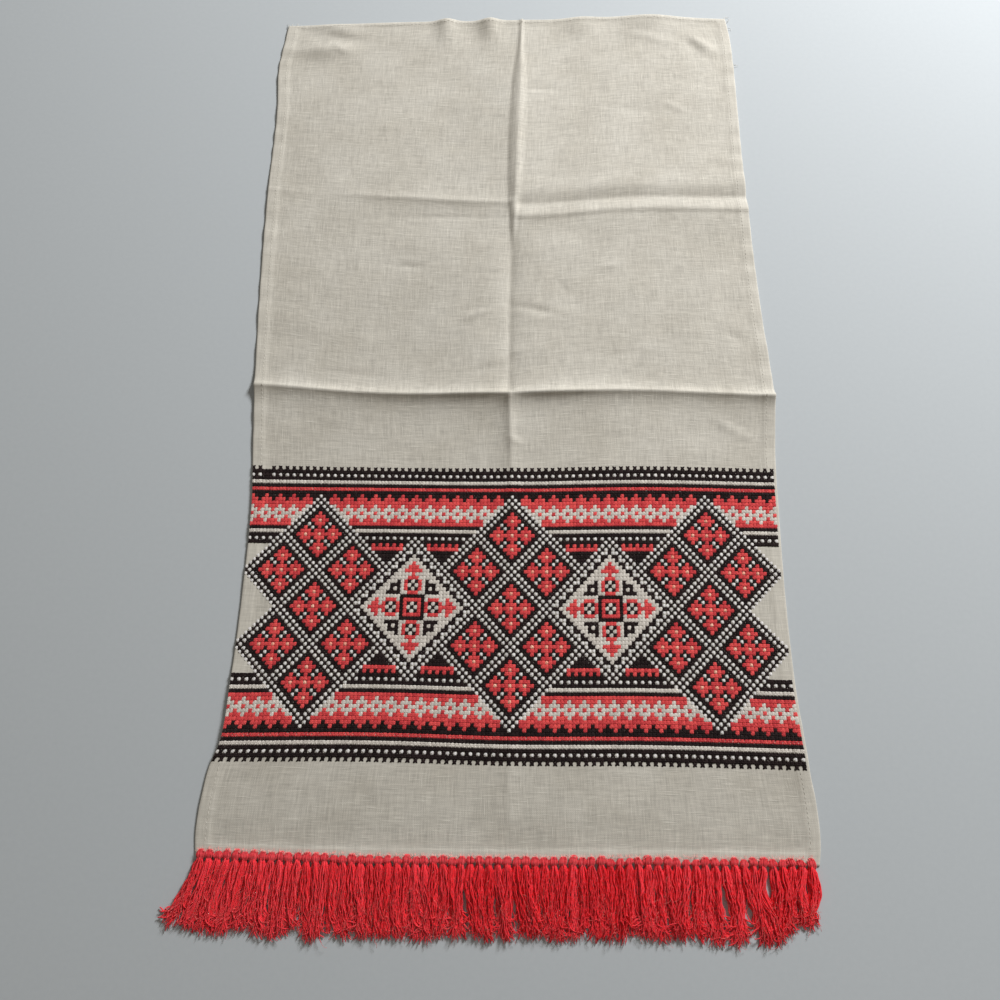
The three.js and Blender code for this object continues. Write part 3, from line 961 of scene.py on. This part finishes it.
def make_stitches(name, code, look, width, length, rise, seed):
    """All the cross-stitches of one colour. Each is two crossed strands, pointed at their ends."""
    cells = cells_of(code)
    count = len(cells)
    rng = np.random.default_rng(seed)
    halves = rng.uniform(0.92, 1.08, (count, 2)) * width / STITCH / 2
    reach = rng.uniform(0.96, 1.05, (count, 2)) * length / STITCH / 2
    shift = rng.normal(0, 0.035, (count, 2, 2))
    columns, rows, heights = [], [], []
    for strand, slant in enumerate((1, -1)):
        base = CROSSING_RISE * strand
        direction = np.array([1, slant]) / np.sqrt(2)
        sideways = np.array([-slant, 1]) / np.sqrt(2)
        for along, aside, height in strand_template(rise):
            offset = (
                along * reach[:, strand, None] * direction
                + aside * halves[:, strand, None] * sideways
                + shift[:, strand]
            )
            columns.append(cells[:, 0] + offset[:, 0])
            rows.append(cells[:, 1] + offset[:, 1])
            heights.append(np.full(count, height + base * (abs(along) < 1)))
    column, row, height = (np.stack(values, 1) for values in (columns, rows, heights))
    u = column / np.where(column < 0, COLUMNS_LEFT, COLUMNS_RIGHT)
    u = np.clip(u, -EDGE_LIMIT, EDGE_LIMIT)
    v = BAND_MIDDLE + (MIDDLE_ROW - row) * STITCH
    x, y, _ = place(u, v)
    points = to_frame(x, y, top_of(u, v) + height)
    ring = np.arange(4)
    after = (ring + 1) % 4
    strand_quads = np.stack([1 + ring, 1 + after, 5 + after, 5 + ring], 1)
    strand_fans = np.concatenate([
        np.stack([np.zeros(4, int), 1 + after, 1 + ring], 1),
        np.stack([np.full(4, 9), 5 + ring, 5 + after], 1),
    ])
    quads = np.concatenate([strand_quads, strand_quads + STRAND_POINTS])
    fans = np.concatenate([strand_fans, strand_fans + STRAND_POINTS])
    offsets = (np.arange(count) * 2 * STRAND_POINTS)[:, None, None]
    along = np.tile([0, 0.8, 0.8, 0.8, 0.8, 2.9, 2.9, 2.9, 2.9, 3.7], 2)
    around = np.tile([0.4, 0, 0.25, 0.5, 0.75, 0, 0.25, 0.5, 0.75, 0.4], 2)
    each = np.stack([around, along], 1)
    quad_uv = np.tile(each[quads].reshape(-1, 2), (count, 1))
    fan_uv = np.tile(each[fans].reshape(-1, 2), (count, 1))
    tone = np.repeat(rng.uniform(0, 1, count), 2 * STRAND_POINTS)
    uv = np.concatenate([quad_uv, fan_uv])
    return make_piece(name, points, quads + offsets, fans + offsets, look, uv, tone, smooth=False)


# The fringe


def knot_x(index):
    """Where a knot lies along the hem, the knots a little closer on the left."""
    start = SECTIONS["left"][0] + KNOT_START
    end = SECTIONS["right"][0] - KNOT_END
    t = (np.asarray(index, float) + 0.5) / KNOTS
    return start + (end - start) * (t * (1 - KNOT_CROWDING) + t * t * KNOT_CROWDING)


def hem_y(x):
    """Where the lower hem's edge lies at x."""
    half = np.where(x < 0, -SECTIONS["left"][0], SECTIONS["right"][0])
    return bow(x / half, np.zeros_like(x))


def tip_shift(x):
    """How far a fringe tip lies right of a root at x."""
    shift = read(LEANS, "lean", x)
    for at, width in zip(PARTINGS["x"], PARTINGS["width"]):
        side = np.where(x < at, -1, 1)
        shift = shift + side * width / 2 * np.exp(-np.abs(x - at) / PARTING_REACH)
    return shift


def make_knots(look):
    """Knots over the lower hem: strands side by side from a hole in the hem down round its edge."""
    rng = np.random.default_rng(11)
    fan = np.tile(np.linspace(-1, 1, KNOT_STRANDS), KNOTS)

    def per_strand(values):
        return np.repeat(values, KNOT_STRANDS)

    big = per_strand(rng.uniform(0.88, 1.08, KNOTS))
    x = knot_x(per_strand(np.arange(KNOTS))) + per_strand(rng.normal(0, 0.25, KNOTS))
    y = hem_y(x)
    side = fan + rng.normal(0, 0.05, len(fan))
    top = KNOT_TOP - 1.2 * side**4 + per_strand(rng.normal(0, 0.5, KNOTS))
    bottom = KNOT_BOTTOM + 1.3 * side**2 + per_strand(rng.normal(0, 0.45, KNOTS))
    hem_top = CLOTH_THICKNESS + HEM_EXTRA
    t = np.linspace(0, 1, 10)
    arch = np.sin(np.pi * (0.03 + 0.85 * t)) ** 0.55
    width = KNOT_WIDTH * big[:, None] * (0.84 + 0.16 * np.sin(np.pi * np.clip(t * 0.9 + 0.08, 0, 1)))
    lean = per_strand(rng.normal(0, 0.7, KNOTS))[:, None] * (t - 0.5)
    crown = 1.1 * np.sqrt(np.maximum(0, 1 - 0.6 * side**2))[:, None] + rng.normal(0, 0.1, (len(x), 1))
    lines = np.stack([
        x[:, None] + side[:, None] * width + lean,
        y[:, None] + top[:, None] + (bottom - top)[:, None] * t,
        hem_top - 0.4 + arch * (0.8 + crown) - 0.1 * step(t, 0.7, 1.0),
    ], -1)
    taper = np.interp(t, [0, 0.12, 0.85, 1], [0.75, 1, 1, 0.8])
    radii = np.full(lines.shape[:2], KNOT_YARN_RADIUS) * taper
    tone = rng.uniform(0.1, 0.9, len(x))
    return tube_piece("fringe_knots", lines, radii, 6, look, tone)


def make_knot_fuzz(look):
    """Short fibres round the tops of the knots, pale pink to paint the lit halo on the knots' tops."""
    rng = np.random.default_rng(13)
    x = np.repeat(knot_x(np.arange(KNOTS)), KNOT_FIBRES)
    y = hem_y(x)
    angle = rng.uniform(-1.25, 1.25, len(x))
    t = np.linspace(0, 1, 5)
    turn = angle[:, None] + rng.normal(0, 0.6, (len(x), 1)) * t
    reach = rng.uniform(0.6, 2.0, (len(x), 1)) / (len(t) - 1)
    lines = np.stack([
        (x + 2.2 * np.sin(angle))[:, None] + np.cumsum(np.sin(turn) * reach, 1),
        (y + 2.3 + 2.0 * np.cos(angle))[:, None] + np.cumsum(np.cos(turn) * reach, 1),
        CLOTH_THICKNESS + HEM_EXTRA + rng.uniform(0.4, 1.6, (len(x), 1)) + 0.7 - 0.8 * t,
    ], -1)
    radii = np.full(lines.shape[:2], KNOT_FIBRE_RADIUS)
    return tube_piece("knot_fuzz", lines, radii, 3, look, rng.uniform(0.3, 1, len(x)))


# What each bundle of the fringe has of its own: extra length, tone, lean and the place of its root, then how
# far and how often it sways and from where, and how high it lies
bundle_rng = np.random.default_rng(5)
BUNDLES = {
    "longer": bundle_rng.normal(0.9, 1.5, KNOTS),
    "tone": bundle_rng.uniform(0, 1, KNOTS),
    "lean": bundle_rng.normal(0, 0.04, KNOTS),
    "root": bundle_rng.uniform(-0.5, 0.7, KNOTS),
    "sway": bundle_rng.uniform(0.02, 0.13, KNOTS),
    "turns": bundle_rng.uniform(0.5, 1.1, KNOTS),
    "phase": bundle_rng.uniform(0, 2 * np.pi, KNOTS),
    "raise": bundle_rng.uniform(0, 1, KNOTS),
}


def strand_lines(rng, knots, spread_at, layer, length, thick, stations_at):
    """Centre lines of strands from under their knots to their tips, each near its bundle's own path."""
    s = stations_at[None]
    x_root = knot_x(knots)
    y_root = hem_y(x_root) + BUNDLES["root"][knots]
    count = len(knots)
    own = {name: values[knots][:, None] for name, values in BUNDLES.items()}
    reach = read(FRINGE_LENGTHS, "length", x_root)
    lean = np.arctan2(tip_shift(x_root), reach)[:, None] + own["lean"]
    aslant = sum(turn * bump(x_root - at, SLANT_REACH) for at, turn in zip(*SLANTS.values()))[:, None]
    sway = own["sway"] * np.sin(2 * np.pi * own["turns"] * s + own["phase"])
    heading = lean * (0.45 + 1.1 * s) + aslant * step(s, 0.1, 0.4) + sway
    phase = rng.uniform(0, 2 * np.pi, (count, 1))
    wave = rng.uniform(0.05, 0.28, (count, 1))
    heading = heading + wave * (0.4 + s) * np.sin(2 * np.pi * rng.uniform(0.9, 2.2, (count, 1)) * s + phase)
    crimp = rng.uniform(0.12, 0.42, (count, 1)) * (step(s, 0.03, 0.25) + 0.9 * step(s, 0.6, 1.0))
    heading = heading + crimp * np.sin(2 * np.pi * rng.uniform(3.6, 5.6, (count, 1)) * s + 3 * phase)
    stray = rng.uniform(0, 1, (count, 1)) < STRAY_SHARE
    curl = rng.uniform(0.6, 3.4, (count, 1)) * np.where(rng.uniform(0, 1, (count, 1)) < 0.5, -1, 1)
    heading = heading + stray * curl * step(s, rng.uniform(0.5, 0.8, (count, 1)), 1.05)
    heading = heading + rng.normal(0, 0.42, (count, 1)) * step(s, 0.65, 1.0)
    ds = np.diff(stations_at, prepend=0)[None] * length[:, None]
    middle = (heading + np.concatenate([heading[:, :1], heading[:, :-1]], 1)) / 2
    x = np.cumsum(np.sin(middle) * ds, 1)
    y = np.cumsum(np.cos(middle) * ds, 1)
    for at, width, down in zip(*SLITS.values()):
        away = x_root - at
        push = np.sign(away) * width / 2 * np.exp(-np.abs(away) / PARTING_REACH)
        x = x + push[:, None] * np.exp(-(((s - down) / 0.2) ** 2))
    half = 1.25 + 1.6 * step(s, 0.0, 0.13) + 0.5 * step(s, 0.6, 1.0)
    raised = 0.8 * own["raise"] + 5 * np.abs(aslant)
    pile = PILE_HEIGHT + 0.8 * step(s, 0.0, 0.11) + raised * step(s, 0.1, 0.4) - 1.4 * step(s, 0.4, 0.95)
    ripple = 0.25 * np.sin(2 * np.pi * (3 * s + 2 * phase))
    z = YARN_RADIUS + layer[:, None] * (pile - 2 * YARN_RADIUS) + ripple * s
    return np.stack([
        x_root[:, None] + spread_at[:, None] * half + x,
        y_root[:, None] - y,
        np.maximum(z, thick * YARN_RADIUS),
    ], -1)


def make_strands(name, look, seed, low, high, thick):
    """Half of the strands of every bundle, between two layers of its depth."""
    rng = np.random.default_rng(seed)
    count = KNOTS * STRANDS
    knots = np.repeat(np.arange(KNOTS), STRANDS)
    order = rng.permuted(np.tile(np.linspace(-1, 1, STRANDS), (KNOTS, 1)), axis=1)
    spread_at = order.ravel() + rng.normal(0, 0.09, count)
    layer = rng.uniform(low, high, count) * np.sqrt(np.maximum(0.05, 1 - 0.7 * spread_at**2))
    length = read(FRINGE_LENGTHS, "length", knot_x(knots)) + BUNDLES["longer"][knots]
    length = length + np.clip(rng.normal(0, 1.5, count), -5, 2.2) - 2.4 * spread_at**2
    at = np.linspace(0, 1, 24) ** 0.92
    lines = strand_lines(rng, knots, spread_at, layer, length, thick, at)
    taper = np.interp(at, [0, 0.1, 0.85, 1], [0.9, 1, 0.9, 0.4])
    radii = thick * YARN_RADIUS * rng.uniform(0.75, 1.15, (count, 1)) * taper
    tone = 0.6 * BUNDLES["tone"][knots] + 0.4 * rng.uniform(0, 1, count)
    return tube_piece(name, lines, radii, 3, look, tone), lines


def make_fluff(look, lines):
    """Fine fibres that stand off the yarn, most of them near the tips; their paler colour paints highlights.
    """
    rng = np.random.default_rng(23)
    count = FLUFF
    chosen = rng.integers(0, len(lines), count)
    last = lines.shape[1] - 1
    start = np.clip(rng.beta(1.5, 1.3, count) * last, 1, last - 0.5)
    low = start.astype(int)
    share = (start - low)[:, None]
    root = lines[chosen, low] * (1 - share) + lines[chosen, low + 1] * share
    ahead = lines[chosen, low + 1] - lines[chosen, low]
    heading = np.arctan2(ahead[:, 0], -ahead[:, 1]) + rng.normal(0, 0.22, count)
    length = rng.uniform(5, 15, count) * np.interp(start / last, [0, 0.6, 1], [1, 0.8, 0.4])
    t = np.linspace(0, 1, 9)
    bend = rng.normal(0, 0.6, (count, 1)) * t + rng.normal(0, 0.4, (count, 1)) * np.sin(8 * t)
    turn = heading[:, None] + bend
    ds = length[:, None] / (len(t) - 1)
    x = root[:, :1] + np.cumsum(np.sin(turn) * ds, 1)
    y = root[:, 1:2] - np.cumsum(np.cos(turn) * ds, 1)
    rise = rng.uniform(0.2, 1.0, (count, 1)) * np.sin(np.pi * t * 0.8)
    z = np.maximum(root[:, 2:] + rise - 0.5 * t * (root[:, 2:] - 0.4), 0.2)
    radii = np.full((count, len(t)), FIBRE_RADIUS) * rng.uniform(0.7, 1.2, (count, 1))
    return tube_piece("fringe_fluff", np.stack([x, y, z], -1), radii, 3, look, rng.uniform(0.4, 1, count))


# Sewing and loose ends


def make_hem_stitches(look):
    """Running stitches that hold the side and top hems."""
    rng = np.random.default_rng(31)
    inner = 1 - (SIDE_HEM - SEWING_INSET) / NOMINAL_HALF
    up = np.arange(BOTTOM_HEM + 3, CLOTH_LENGTH - TOP_HEM, SEWING_PITCH)
    up = up[np.abs(up - BAND_MIDDLE) > BAND_REACH]
    across = np.arange(-0.955, 0.956, SEWING_PITCH / NOMINAL_HALF)
    u = np.concatenate([np.full(len(up), -inner), np.full(len(up), inner), across])
    v = np.concatenate([up, up, np.full(len(across), CLOTH_LENGTH - TOP_HEM + 1.1)])
    du = np.concatenate([np.zeros(2 * len(up)), np.full(len(across), 1.0 / NOMINAL_HALF)])
    dv = np.concatenate([np.full(2 * len(up), 1.0), np.zeros(len(across))])
    u = u + rng.normal(0, 0.12, len(u)) / NOMINAL_HALF
    v = v + rng.normal(0, 0.2, len(v))
    t = np.linspace(-1, 1, 5)
    u, v = u[:, None] + du[:, None] * t, v[:, None] + dv[:, None] * t
    x, y, _ = place(u, v)
    z = top_of(u, v) + 0.16 * (1 - t**2) - 0.05
    radii = np.full(x.shape, SEWING_RADIUS)
    return tube_piece("hem_stitches", np.stack([x, y, z], -1), radii, 4, look, rng.uniform(0, 1, len(x)))


# Frayed threads: where each starts, the way it points in degrees, its length and how far it bends in all
FRAYS = table("u v heading length bend", [
    (-0.995, 686.5, 115, 3.6, 30),
    (-0.985, 686.8, 95, 2.8, -30),
    (-0.965, 686.9, 60, 3.0, 40),
    (-0.998, 685.0, 140, 2.4, -30),
    (0.992, 686.6, 60, 5.5, -70),
    (0.999, 683.0, 20, 6.0, 60),
    (0.999, 676.0, 5, 4.0, -50),
    (0.998, 633.0, -10, 4.5, 30),
    (0.999, 634.0, 25, 2.5, -30),
])


def make_frays(look):
    """Loose thread ends at the corners and one on the right edge."""
    t = np.linspace(0, 1, 8)
    turn = np.radians(FRAYS["heading"][:, None] + FRAYS["bend"][:, None] * t)
    ds = FRAYS["length"][:, None] / (len(t) - 1)
    x, y, _ = place(FRAYS["u"], FRAYS["v"])
    z = lift(FRAYS["u"], FRAYS["v"]) + 0.7
    lines = np.stack([
        x[:, None] + np.cumsum(np.cos(turn) * ds, 1),
        y[:, None] + np.cumsum(np.sin(turn) * ds, 1),
        np.maximum(z[:, None] * (1 - 0.8 * t), 0.3) + 0.3 * np.sin(np.pi * t),
    ], -1)
    radii = np.full(lines.shape[:2], FRAY_RADIUS) * np.linspace(1, 0.5, len(t))
    return tube_piece("frayed_threads", lines, radii, 4, look, np.full(len(x), 0.6))


# The floor, the light and the camera


def make_floor():
    """A plain pale floor, not part of the towel."""
    look = Look("floor")
    place_in = look.node("TexCoord").outputs["Object"]
    grain = look.noise(place_in, 300.0, 3.0)
    colour = look.mix(grain, FLOOR_DARK, FLOOR_LIGHT)
    material = look.finish(colour, look.bump(grain, 0.05, 0.2 * MM), 0.8)
    mesh = bpy.data.meshes.new("floor")
    signs = ((-1, -1), (1, -1), (1, 1), (-1, 1))
    corners = [(x * FLOOR_HALF, y * FLOOR_HALF, FLOOR_LEVEL) for x, y in signs]
    mesh.from_pydata(corners, [], [(0, 1, 2, 3)])
    mesh.materials.append(material)
    add_object("floor", mesh)


def set_light():
    """A soft window on the far right and a pale room round it."""
    data = bpy.data.lights.new("window", "AREA")
    data.shape = "DISK"
    data.size = WINDOW_SIZE
    data.energy = WINDOW_POWER
    data.color = WINDOW_COLOUR
    light = add_object("window", data)
    light.location = WINDOW_PLACE
    direction = np.array(WINDOW_AIM, float) - np.array(WINDOW_PLACE, float)
    light.rotation_mode = "QUATERNION"
    light.rotation_quaternion = Vector(direction).to_track_quat("-Z", "Y")
    world = bpy.data.worlds.new("room")
    world.use_nodes = True
    background = world.node_tree.nodes["Background"]
    background.inputs["Color"].default_value = ROOM_COLOUR
    background.inputs["Strength"].default_value = ROOM_STRENGTH
    bpy.context.scene.world = world
    bpy.context.scene.view_settings.view_transform = "Standard"


def set_camera():
    """The photograph's viewpoint: over the lower part of the towel, tilted up along it."""
    data = bpy.data.cameras.new("camera")
    data.lens = CAMERA_LENS
    data.sensor_width = SENSOR
    camera = add_object("camera", data)
    camera.location = to_frame(CAMERA_X, CAMERA_Y, CAMERA_HEIGHT)
    camera.rotation_euler = (np.radians(CAMERA_TILT), 0, 0)
    bpy.context.scene.camera = camera


# Every yarn and thread: its dark and light colours and its fuzz's, the length of its twist and the depth of
# its plies, and its sheen. Some also have how much light spreads in them and how dark the shade is that
# is painted in their grooves.
YARNS = [
    ("red_yarn", (0.86, 0.015, 0.024), (1.0, 0.054, 0.074), (1.0, 0.25, 0.25), 3.2, 0.1, 0.6, 0.4, 0.1),
    ("knot_yarn", (0.64, 0.027, 0.040), (0.92, 0.092, 0.106), (1.0, 0.4, 0.4), 3.2, 0.3, 0.35, 0.3),
    # Stray fibres of the yarn, coloured paler than it to paint the highlights along them
    ("red_fluff", (0.85, 0.08, 0.085), (0.98, 0.22, 0.20), (1.0, 0.4, 0.35), 3.2, 0.1, 0.35),
    # Fibres round the knot tops, pale pink to paint the lit halo there
    ("pink_fluff", (0.85, 0.22, 0.20), (0.95, 0.45, 0.40), (1.0, 0.7, 0.65), 3.2, 0.1, 0.35),
    ("black_stitch", (0.009, 0.005, 0.005), (0.026, 0.016, 0.016), (0.5, 0.4, 0.4), 2.2, 0.2, 0.1),
    ("red_stitch", (0.50, 0.034, 0.044), (0.84, 0.098, 0.094), (1.0, 0.5, 0.5), 2.2, 0.2, 0.35),
    ("white_stitch", (0.53, 0.485, 0.435), (0.76, 0.705, 0.64), (1, 1, 1), 2.2, 0.2, 0.1),
    ("dot_stitch", (0.66, 0.64, 0.63), (0.90, 0.87, 0.86), (1, 1, 1), 2.2, 0.2, 0.1),
    # The pale orange thread at the petals' hearts paints a glint
    ("heart_stitch", (0.90, 0.34, 0.24), (0.98, 0.62, 0.46), (1, 1, 1), 2.2, 0.2, 0.1),
    ("sewing_thread", (0.60, 0.57, 0.50), (0.74, 0.71, 0.64), (1, 1, 1), 1.2, 0.1, 0.1),
]

# Every kind of cross-stitch: its piece, code, thread and slot, and the width, length and rise of its strands
STITCHES = [
    ("band_black", "k", "black_stitch", "black_stitch", 1.75, 4.1, 0.6),
    ("band_trellis", "x", "black_stitch", "black_stitch", 1.45, 4.35, 0.45),
    ("band_red", "r", "red_stitch", "red_stitch", 2.0, 4.1, 0.55),
    ("band_thin_red", "n", "red_stitch", "red_stitch", 1.45, 3.9, 0.48),
    ("band_white", "w", "white_stitch", "linen", 2.1, 4.0, 0.36),
    ("band_lines", "l", "white_stitch", "linen", 2.1, 4.1, 0.6),
    ("band_dots", "d", "dot_stitch", "linen", 1.55, 2.4, 0.24),
    ("band_hearts", "c", "heart_stitch", "linen", 1.6, 2.7, 0.62),
]

linen = linen_look()
yarns = {name: yarn_look(name, *values) for name, *values in YARNS}

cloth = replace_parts(make_cloth(linen), "cloth")
for seed, (name, code, thread, slot, *sizes) in enumerate(STITCHES, 101):
    make_stitches(name, code, yarns[thread], *sizes, seed)
knots = make_knots(yarns["knot_yarn"])
knot_fuzz = make_knot_fuzz(yarns["pink_fluff"])
lower_yarn, _ = make_strands("fringe_yarn", yarns["red_yarn"], 6, 0.0, 0.6, 1.8)
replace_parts(lower_yarn, "fringe")
upper_yarn, upper_lines = make_strands("fringe_yarn_upper", yarns["red_yarn"], 7, 0.45, 1.0, 1.0)
fluff = make_fluff(yarns["red_fluff"], upper_lines)
sewing = make_hem_stitches(yarns["sewing_thread"])
frays = make_frays(yarns["sewing_thread"])

make_floor()
set_light()
set_camera()
